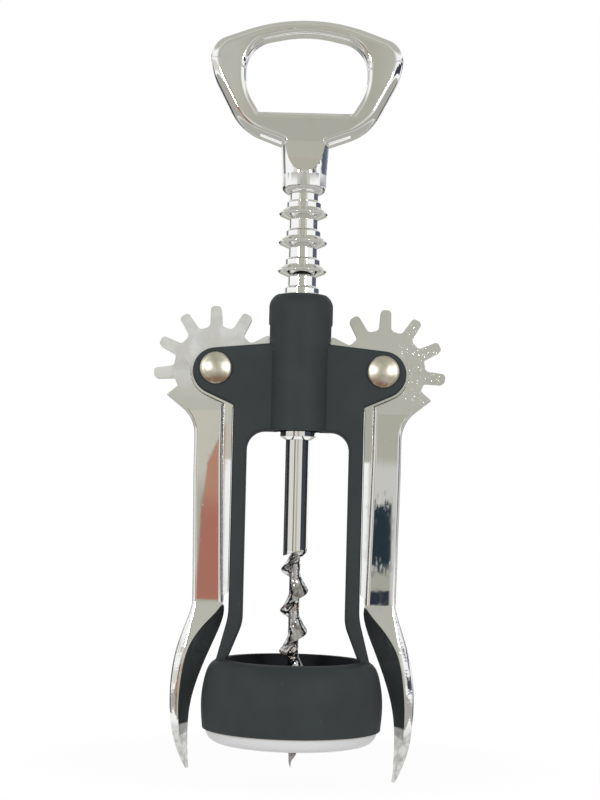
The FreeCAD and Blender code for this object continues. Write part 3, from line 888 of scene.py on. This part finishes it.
@dataclass
class PivotRivet:
    """Domed rivet of one lever and the cap pressed on its tail."""

    side: str
    pivot_x: float
    pivot_z: float = 91.4
    frame_half: float = 4.0
    shank_r: float = 2.0
    tail_r: float = 1.3
    end_round: float = 0.1
    cap_depth: float = 3.0
    head_r: float = 3.95
    head_edge: float = 0.3
    head_rise: float = 1.7
    head_foot_round: float = 0.05
    crown_r: float = 8.0
    crown_share: float = 0.78
    bend_share: Pair = (0.94, 0.62)
    steps: int = 9
    segments: int = 72
    fit: float = 0.02

    def build(self, paintbox: Paintbox) -> None:
        """Makes the rivet and its cap.

        Args:
            paintbox: The finishes.
        """
        end_z = -2.0 * self.frame_half
        tail_z = end_z + self.cap_depth
        rivet = [(0.0, end_z, 0.0), (self.tail_r, end_z, self.end_round)]
        rivet += [(self.tail_r, tail_z, 0.0), (self.shank_r, tail_z, self.end_round)]
        rivet += self._head()
        bore = self.tail_r + self.fit
        sleeve_z = self.fit - self.cap_depth
        cap = [(0.0, self.fit, 0.0), (bore, self.fit, 0.0), (bore, sleeve_z, 0.0)]
        cap += [(self.shank_r, sleeve_z, self.end_round)] + self._head()
        self._place(rivet, "pivot_rivet", "rivet", -1.0, paintbox)
        self._place(cap, "pivot_cap", "rivet_cap", 1.0, paintbox)

    def _head(self) -> list[Corner]:
        """Half section of the domed head, from the shank to its top.

        Returns:
            Corners of the section.
        """
        crown_z = self.head_rise - self.crown_r
        rim_r = self.crown_share * self.head_r
        rim_z = crown_z + math.sqrt(self.crown_r ** 2 - rim_r ** 2)
        share_r, share_z = self.bend_share
        bend_r = share_r * self.head_r
        bend_z = self.head_edge + share_z * (rim_z - self.head_edge)
        pull_r = 2.0 * bend_r - (self.head_r + rim_r) / 2.0
        pull_z = 2.0 * bend_z - (self.head_edge + rim_z) / 2.0
        corners = [(self.shank_r, 0.0, 0.0), (self.head_r, 0.0, self.head_foot_round)]
        corners.append((self.head_r, self.head_edge, 0.0))
        for step in range(1, self.steps):
            share = step / self.steps
            before, middle, after = (1.0 - share) ** 2, 2.0 * share * (1.0 - share), share ** 2
            radius = before * self.head_r + middle * pull_r + after * rim_r
            height = before * self.head_edge + middle * pull_z + after * rim_z
            corners.append((radius, height, 0.0))
        for step in range(self.steps):
            radius = rim_r * (1.0 - step / self.steps)
            corners.append((radius, crown_z + math.sqrt(self.crown_r ** 2 - radius ** 2), 0.0))
        return corners + [(0.0, self.head_rise, 0.0)]

    def _place(self, section: Sequence[Corner], name: str, node: str, facing: float,
               paintbox: Paintbox) -> None:
        """Turns one piece to the front or the back and puts it on the pivot.

        Args:
            section: Half section of the piece, its head up.
            name: Name of the piece without its side.
            node: Node's name without its side.
            facing: -1 for a head at the front and 1 for one at the back.
            paintbox: The finishes.
        """
        mesh = Turning(section, self.segments).build(f"{self.side}_{name}")
        turn = Matrix.Rotation(math.radians(-90.0 * facing), 4, "X")
        place = Vector((self.pivot_x, facing * self.frame_half, self.pivot_z)) * MM
        mesh.transform(Matrix.Translation(place) @ turn)
        paintbox.fit(mesh, f"{self.side}_{node}", "frame", Finish.NICKEL)


@dataclass
class WingLever:
    """One wing: gear sector, stepped bar and thumb paddle in one casting."""

    side: str
    finish: Finish

    def build(self, paintbox: Paintbox) -> None:
        """Dresses the lever."""
        paintbox.dress(f"{self.side}_lever", self.finish)


@dataclass
class RingRack:
    """Round rack: equal rings, each under a short hub, on one stem."""

    rings: int = 8
    pitch: float = 7.0
    first_ring_z: float = 80.9
    ring_r: float = 6.0
    ring_bevel: float = 0.3
    ring_edge: float = 0.45
    ring_root: float = 1.4
    hub_r: float = 4.25
    hub_height: float = 1.3
    hub_cone: float = 0.5
    stem_r: float = 3.5
    bore_r: float = 2.03
    low_z: float = 77.1
    high_z: float = 142.37
    root_round: float = 0.12
    rim_round: float = 0.16
    hub_round: Pair = (0.15, 0.18)
    end_round: float = 0.1

    def build(self, paintbox: Paintbox) -> None:
        """Turns the rack."""
        mesh = Turning(self._section()).build("ring_rack")
        paintbox.fit(mesh, "rack", "spindle", Finish.TURNED)

    def _section(self) -> list[Corner]:
        """Section of the rack.

        Returns:
            Corners of the section.
        """
        rim_r = self.ring_r - self.ring_bevel
        foot_round, top_round = self.hub_round
        corners = [(self.bore_r, self.low_z, 0.0), (self.stem_r, self.low_z, self.end_round)]
        for index in range(self.rings):
            z = self.first_ring_z + index * self.pitch
            hub_low = z + self.ring_root
            hub_top = hub_low + self.hub_height
            corners.append((self.stem_r, z - self.ring_root, self.root_round))
            corners.append((rim_r, z - self.ring_edge, self.rim_round))
            corners.append((self.ring_r, z, self.root_round))
            corners.append((rim_r, z + self.ring_edge, self.rim_round))
            corners += [(self.hub_r, hub_low, foot_round), (self.hub_r, hub_top, top_round)]
            corners.append((self.stem_r, hub_top + self.hub_cone, self.root_round))
        corners.append((self.stem_r, self.high_z, self.end_round))
        return corners + [(self.bore_r, self.high_z, 0.0)]


@dataclass
class Spindle:
    """Worm and shank, the flared collar on the shank, and the rack above it."""

    collar_bore_r: float = 2.05
    collar_top_z: float = 77.05
    collar_top_r: float = 3.5
    collar_cone: float = 0.5
    collar_hub_r: float = 4.4
    collar_hub_height: float = 1.3
    collar_foot_r: float = 3.2
    collar_foot_height: float = 0.8
    collar_round: float = 0.15
    collar_top_round: float = 0.1
    collar_foot_round: float = 0.12

    def build(self, paintbox: Paintbox) -> None:
        """Dresses the worm and makes the collar and the rack.

        Args:
            paintbox: The finishes.
        """
        paintbox.dress("worm", Finish.WORM)
        mesh = Turning(self._collar_section()).build("flared_collar")
        paintbox.fit(mesh, "shank_collar", "carriage", Finish.TURNED)
        RingRack().build(paintbox)

    def _collar_section(self) -> list[Corner]:
        """Section of the collar.

        Returns:
            Corners of the section.
        """
        hub_top = self.collar_top_z - self.collar_cone
        hub_low = hub_top - self.collar_hub_height
        foot_z = hub_low - self.collar_foot_height
        return [
            (self.collar_bore_r, self.collar_top_z, 0.0),
            (self.collar_top_r, self.collar_top_z, self.collar_top_round),
            (self.collar_hub_r, hub_top, self.collar_round),
            (self.collar_hub_r, hub_low, self.collar_round),
            (self.collar_foot_r, foot_z, self.collar_foot_round),
            (self.collar_bore_r, foot_z, 0.0),
        ]


@dataclass
class KeyHandle:
    """Key handle with the crown cap opener, and the pin that holds it on the spindle."""

    pin_r: float = 1.0
    pin_z: float = 138.4
    pin_front_y: float = -3.7
    pin_back_y: float = 5.15
    pin_round: float = 0.18
    pin_segments: int = 48

    def build(self, paintbox: Paintbox) -> None:
        """Dresses the handle and makes its pin.

        Args:
            paintbox: The finishes.
        """
        paintbox.dress("handle", Finish.HANDLE)
        section = [(0.0, self.pin_front_y, 0.0), (self.pin_r, self.pin_front_y, self.pin_round)]
        section += [(self.pin_r, self.pin_back_y, self.pin_round), (0.0, self.pin_back_y, 0.0)]
        mesh = Turning(section, self.pin_segments).build("cross_pin")
        turn = Matrix.Rotation(math.radians(-90.0), 4, "X")
        mesh.transform(Matrix.Translation(Vector((0.0, 0.0, self.pin_z * MM))) @ turn)
        paintbox.fit(mesh, "handle_pin", "spindle", Finish.NICKEL)


# ---- studio


@dataclass(frozen=True)
class Patch:
    """One tone on the walls of the room, in degrees seen from the tool.

    The bearing is 0 straight in front and grows to the right. Soft is the width of the fading
    edges, and a fade above 0 takes its place on the upper and the lower one. With a lean, the left
    edge moves by that many degrees for each degree up. Ragged is how far the upper and the lower
    edge fray.
    """

    colour: Colour
    bearing: Pair
    climb: Pair
    soft: float = 3.0
    lean: float = 0.0
    ragged: float = 0.0
    fade: float = 0.0

    def mask(self, pad: NodePad, bearing: Signal, climb: Signal, rough: Signal) -> Signal:
        """Works out where the tone shows.

        Args:
            pad: Pad of the world. Not used.
            bearing: Angle across in degrees.
            climb: Angle up in degrees.
            rough: Pattern from 0 to 1 that frays an edge.

        Returns:
            A mask from 0 to 1.
        """
        half = self.soft / 2.0
        height = climb + (rough - 0.5) * self.ragged if self.ragged else climb
        left = bearing - (height - self.climb[0]) * self.lean if self.lean else bearing
        across = left.between(self.bearing[0] - half, self.bearing[0] + half)
        across = across * bearing.between(self.bearing[1] + half, self.bearing[1] - half)
        return across * height.inside(*self.climb, self.fade or self.soft)


# Each patch covers the ones before it.
ROOM: tuple[Patch, ...] = (
    # Ceiling, ground and the wall below the horizon.
    Patch((0.50, 0.50, 0.455), ALL_ROUND, (32.0, 91.0), 12.0),
    Patch((0.46, 0.455, 0.42), ALL_ROUND, (-75.0, -26.0), 12.0),
    Patch((0.42, 0.42, 0.385), ALL_ROUND, (-24.0, -6.2), 2.0, fade=1.0),
    # Wall in front: greys high up, a pale band at the horizon and olive between.
    Patch((0.62, 0.62, 0.575), (-38.0, 29.0), (4.0, 70.0), 6.0),
    Patch((0.47, 0.45, 0.385), (-24.0, 18.0), (40.0, 66.0), 8.0),
    Patch((0.72, 0.72, 0.67), (-116.0, 44.0), (-2.6, 4.4), 3.0, fade=1.0),
    Patch((0.68, 0.68, 0.655), (-34.0, 24.0), (-6.0, 6.0), 4.0, fade=1.0),
    Patch(OLIVE, (-22.0, 14.0), (4.5, 24.0), 5.0),
    Patch((0.475, 0.475, 0.415), (-22.0, 14.0), (20.0, 44.0), 6.0),
    Patch(OLIVE, (-7.0, 7.0), (-20.0, 5.0), 2.0),
    # Brown, in front to the left.
    Patch((0.27, 0.16, 0.12), (-32.0, -21.0), (-20.0, 4.6), 3.0),
    Patch((0.45, 0.27, 0.19), (-44.0, -18.0), (-9.0, -2.9), 3.0, fade=0.8),
    # Band that the hub of the handle mirrors.
    Patch((0.56, 0.56, 0.53), (-74.0, 58.0), (10.8, 12.9), 2.0, fade=0.5),
    Patch((0.437, 0.437, 0.385), (-9.0, 9.0), (10.8, 13.2), 3.0, fade=0.5),
    Patch((0.10, 0.11, 0.18), (60.0, 84.0), (10.9, 13.0), 3.0, fade=0.5),
    Patch((0.24, 0.24, 0.21), (-100.0, -88.0), (10.9, 13.0), 3.0, fade=0.5),
    # Sides at the height of the rack, and of the handle's loop above it.
    Patch((0.10, 0.12, 0.17), (90.0, 166.0), (6.2, 10.7), 5.0, fade=1.0),
    Patch((0.20, 0.21, 0.21), (-140.0, -116.0), (6.2, 10.7), 5.0, fade=1.0),
    Patch((0.18, 0.25, 0.26), (100.0, 146.0), (12.8, 21.0), 5.0, fade=1.0),
    Patch((0.34, 0.34, 0.30), (-150.0, -118.0), (12.8, 21.0), 5.0, fade=1.0),
    # Dark sides at the height of the shank, and olive straight behind.
    Patch((0.05, 0.055, 0.08), (43.0, 114.0), (-2.2, 4.4), 3.0, fade=1.0),
    Patch((0.06, 0.065, 0.07), (-166.0, -118.0), (-14.0, 4.4), 3.0),
    Patch((0.05, 0.05, 0.06), (120.0, 166.0), (-14.0, -2.4), 3.0),
    Patch((0.46, 0.46, 0.41), (-190.0, -169.0), (-24.0, 30.0), 4.0),
    Patch((0.46, 0.46, 0.41), (169.0, 190.0), (-24.0, 30.0), 4.0),
    # What the left and the right gear sector mirror, straight in front.
    Patch((0.51, 0.51, 0.455), (-6.4, -2.2), (4.0, 28.0), 0.8, fade=2.0),
    Patch((0.57, 0.555, 0.48), (-6.4, -2.2), (0.6, 4.2), 0.8, fade=1.2),
    Patch((0.485, 0.485, 0.435), (2.4, 6.4), (4.4, 28.0), 0.8, fade=2.4),
    # Brown and olive on the left bar.
    Patch(BROWN, (-3.15, -2.56), (1.2, 2.7), 0.10, lean=0.41),
    Patch(BROWN, (-3.33, -2.56), (-0.6, 1.25), 0.08, lean=0.1125),
    Patch((0.41, 0.175, 0.13), (-3.44, -2.56), (-4.4, 0.0), 0.07, lean=0.029, fade=1.2),
    Patch(OLIVE, (-3.8, -2.4), (-6.2, -3.31), 0.05),
    # White lines on the inner edges of both bars.
    Patch((0.95, 0.95, 0.96), (-2.54, -2.05), (-3.3, 1.4), 0.10),
    Patch((0.95, 0.95, 0.96), (1.90, 2.30), (-3.3, 1.4), 0.10),
    # Pale, grey and frayed navy on the right bar.
    Patch((0.60, 0.60, 0.57), (2.30, 3.9), (-3.40, 1.4), 0.12, fade=0.5),
    Patch((0.40, 0.40, 0.35), (2.30, 3.08), (-3.40, -2.2), 0.10, ragged=0.8),
    Patch((0.022, 0.036, 0.048), (2.34, 3.09), (-2.15, 0.05), 0.07, ragged=2.4),
    Patch((0.024, 0.030, 0.050), (2.30, 3.07), (-3.38, -2.90), 0.05, ragged=0.25),
)


@dataclass
class Studio:
    """Pale floor, soft lamps and the room that the chrome mirrors.

    The seam is where the floor fades into the background, as shares of its half size.
    """

    floor_half: Pair = (0.09, 0.07)
    floor_middle_y: float = 0.03
    floor_gap: float = 0.3 * MM
    floor_tones: tuple[Colour, Colour] = ((0.88, 0.88, 0.88), (0.92, 0.92, 0.92))
    floor_cloud: Cloud = Cloud(6.0, 2.0)
    floor_roughness: float = 0.9
    floor_glow: float = 0.955
    seam: Pair = (0.50, 0.96)
    lamp_bearing_deg: float = 31.0
    lamp_climb_deg: float = 8.0
    lamp_distance: float = 0.8
    lamp_size: float = 0.09
    lamp_power: float = 1.2
    lamp_target: Point3 = (0.0, 0.0, 0.09)
    ambient: float = 0.62
    streaks: Point3 = (1.0, 1.0, 0.12)
    fraying: Cloud = Cloud(1400.0, 4.0, roughness=0.6)

    def build(self) -> None:
        """Builds floor, lamps and world."""
        self._floor()
        self._lamp("left_lamp", -self.lamp_bearing_deg)
        self._lamp("right_lamp", self.lamp_bearing_deg)
        self._room()
        LOG.info("built the studio")

    def _floor(self) -> None:
        """Lays the floor under the lowest point, its seam faded into the background."""
        low = CAD_BOX[0][2] - self.floor_gap
        half_x, half_y = self.floor_half
        front, back = self.floor_middle_y - half_y, self.floor_middle_y + half_y
        corners = [(-half_x, front, low), (half_x, front, low)]
        corners += [(half_x, back, low), (-half_x, back, low)]
        mesh = bpy.data.meshes.new("floor")
        mesh.from_pydata(corners, [], [(0, 1, 2, 3)])
        floor = bpy.data.objects.new("floor", mesh)
        bpy.context.scene.collection.objects.link(floor)
        material, pad = new_material("floor_white")
        across, along, _ = pad.parts_of(pad.place())
        side = across / half_x
        depth = (along - self.floor_middle_y) / half_y
        reach = (side * side + depth * depth) ** 0.5
        colour = pad.blend(self.floor_cloud.pattern(pad), *self.floor_tones)
        paint = {"Base Color": colour, "Roughness": self.floor_roughness}
        matt = pad.node("ShaderNodeBsdfPrincipled", {}, paint)
        glow = pad.node("ShaderNodeEmission", {}, {"Color": WHITE, "Strength": 1.0})
        path = pad.node("ShaderNodeLightPath", {}, {})
        share = reach.between(*self.seam) * (1.0 - self.floor_glow) + self.floor_glow
        shown = seen_rays(pad, path) * share
        layers = {"0": shown, "1": matt.outputs[0], "2": glow.outputs[0]}
        mixed = pad.node("ShaderNodeMixShader", {}, layers)
        pad.node("ShaderNodeOutputMaterial", {}, {"Surface": mixed.outputs[0]})
        mesh.materials.append(material)

    def _lamp(self, name: str, bearing_deg: float) -> None:
        """Adds one soft square lamp.

        Args:
            name: Name of the lamp.
            bearing_deg: Where it hangs, in degrees from straight in front.
        """
        bearing = math.radians(bearing_deg)
        climb = math.radians(self.lamp_climb_deg)
        flat = self.lamp_distance * math.cos(climb)
        height = self.lamp_distance * math.sin(climb)
        way = Vector((flat * math.sin(bearing), -flat * math.cos(bearing), height))
        data = bpy.data.lights.new(name, "AREA")
        data.size = self.lamp_size
        data.energy = self.lamp_power
        lamp = bpy.data.objects.new(name, data)
        lamp.location = Vector(self.lamp_target) + way
        lamp.rotation_euler = (-way).to_track_quat("-Z", "Y").to_euler()
        bpy.context.scene.collection.objects.link(lamp)

    def _room(self) -> None:
        """Paints the room: white all round, with the tones of ROOM on it."""
        world = bpy.data.worlds.new("room")
        bpy.context.scene.world = world
        world.use_nodes = True
        pad = NodePad(world.node_tree)
        direction = pad.node("ShaderNodeTexCoord", {}, {}).outputs["Generated"]
        across, along, up = pad.parts_of(direction)
        bearing = across.bearing(-along)
        climb = up.climb()
        values = {"0": direction, "1": self.streaks}
        streaky = pad.node("ShaderNodeVectorMath", {"operation": "MULTIPLY"}, values).outputs[0]
        rough = self.fraying.pattern(pad, streaky)
        tone: object = WHITE
        for patch in ROOM:
            tone = pad.blend(patch.mask(pad, bearing, climb, rough), tone, patch.colour)
        path = pad.node("ShaderNodeLightPath", {}, {})
        camera = Signal(pad, path.outputs["Is Camera Ray"])
        shown = pad.blend(camera, tone, WHITE)
        colour = pad.blend(seen_rays(pad, path), (self.ambient,) * 3, shown)
        background = pad.node("ShaderNodeBackground", {}, {"Color": colour, "Strength": 1.0})
        pad.node("ShaderNodeOutputWorld", {}, {"Surface": background.outputs[0]})


def seen_rays(pad: NodePad, path: bpy.types.Node) -> Signal:
    """Mask of the rays that show a background.

    Args:
        pad: Pad of the material or the world.
        path: Its Light Path node.

    Returns:
        1 for camera, glossy and transmission rays.
    """
    camera = Signal(pad, path.outputs["Is Camera Ray"])
    glossy = Signal(pad, path.outputs["Is Glossy Ray"])
    through = Signal(pad, path.outputs["Is Transmission Ray"])
    return (camera + glossy + through).least(1.0)


@dataclass
class Viewpoint:
    """Camera in front, at the height of the plain shank, with a slight roll."""

    distance: float = 0.42
    height: float = 0.059
    aside: float = 0.00087
    roll_deg: float = 1.40
    shift_up: float = 0.1286
    focal_px: float = 1707.3
    image_height_px: float = 800.0
    sensor_height: float = 24.0
    clip_start: float = 0.01

    def build(self) -> None:
        """Places the camera."""
        data = bpy.data.cameras.new("front_camera")
        data.sensor_fit = "VERTICAL"
        data.sensor_height = self.sensor_height
        data.lens = self.focal_px * self.sensor_height / self.image_height_px
        data.shift_y = self.shift_up
        data.clip_start = self.clip_start
        camera = bpy.data.objects.new("front_camera", data)
        roll = math.radians(self.roll_deg)
        forward = Vector((0.0, 1.0, 0.0))
        right = Vector((math.cos(roll), 0.0, math.sin(roll)))
        up = right.cross(forward)
        turn = Matrix((right, up, -forward)).transposed().to_4x4()
        place = Vector((self.aside, -self.distance, self.height))
        camera.matrix_world = Matrix.Translation(place) @ turn
        bpy.context.scene.collection.objects.link(camera)
        bpy.context.scene.camera = camera
        LOG.info("placed the camera")


# ---- assembly


@dataclass
class Corkscrew:
    """The whole tool, made of its sub-assemblies."""

    pivot_x: float = 20.4

    def build(self, paintbox: Paintbox) -> None:
        """Builds every sub-assembly in order.

        Args:
            paintbox: The finishes.
        """
        FrameCasting().build(paintbox)
        PivotRivet("left", -self.pivot_x).build(paintbox)
        PivotRivet("right", self.pivot_x).build(paintbox)
        WingLever("left", Finish.CLOUDED).build(paintbox)
        WingLever("right", Finish.BLISTERED).build(paintbox)
        Spindle().build(paintbox)
        KeyHandle().build(paintbox)


def main() -> None:
    """Builds the tool and its studio."""
    logging.basicConfig(level=logging.INFO, format="%(name)s: %(message)s")
    bpy.context.scene.view_settings.view_transform = "Standard"
    Viewpoint().build()
    Corkscrew().build(Paintbox())
    Studio().build()


if __name__ == "__main__":
    main()
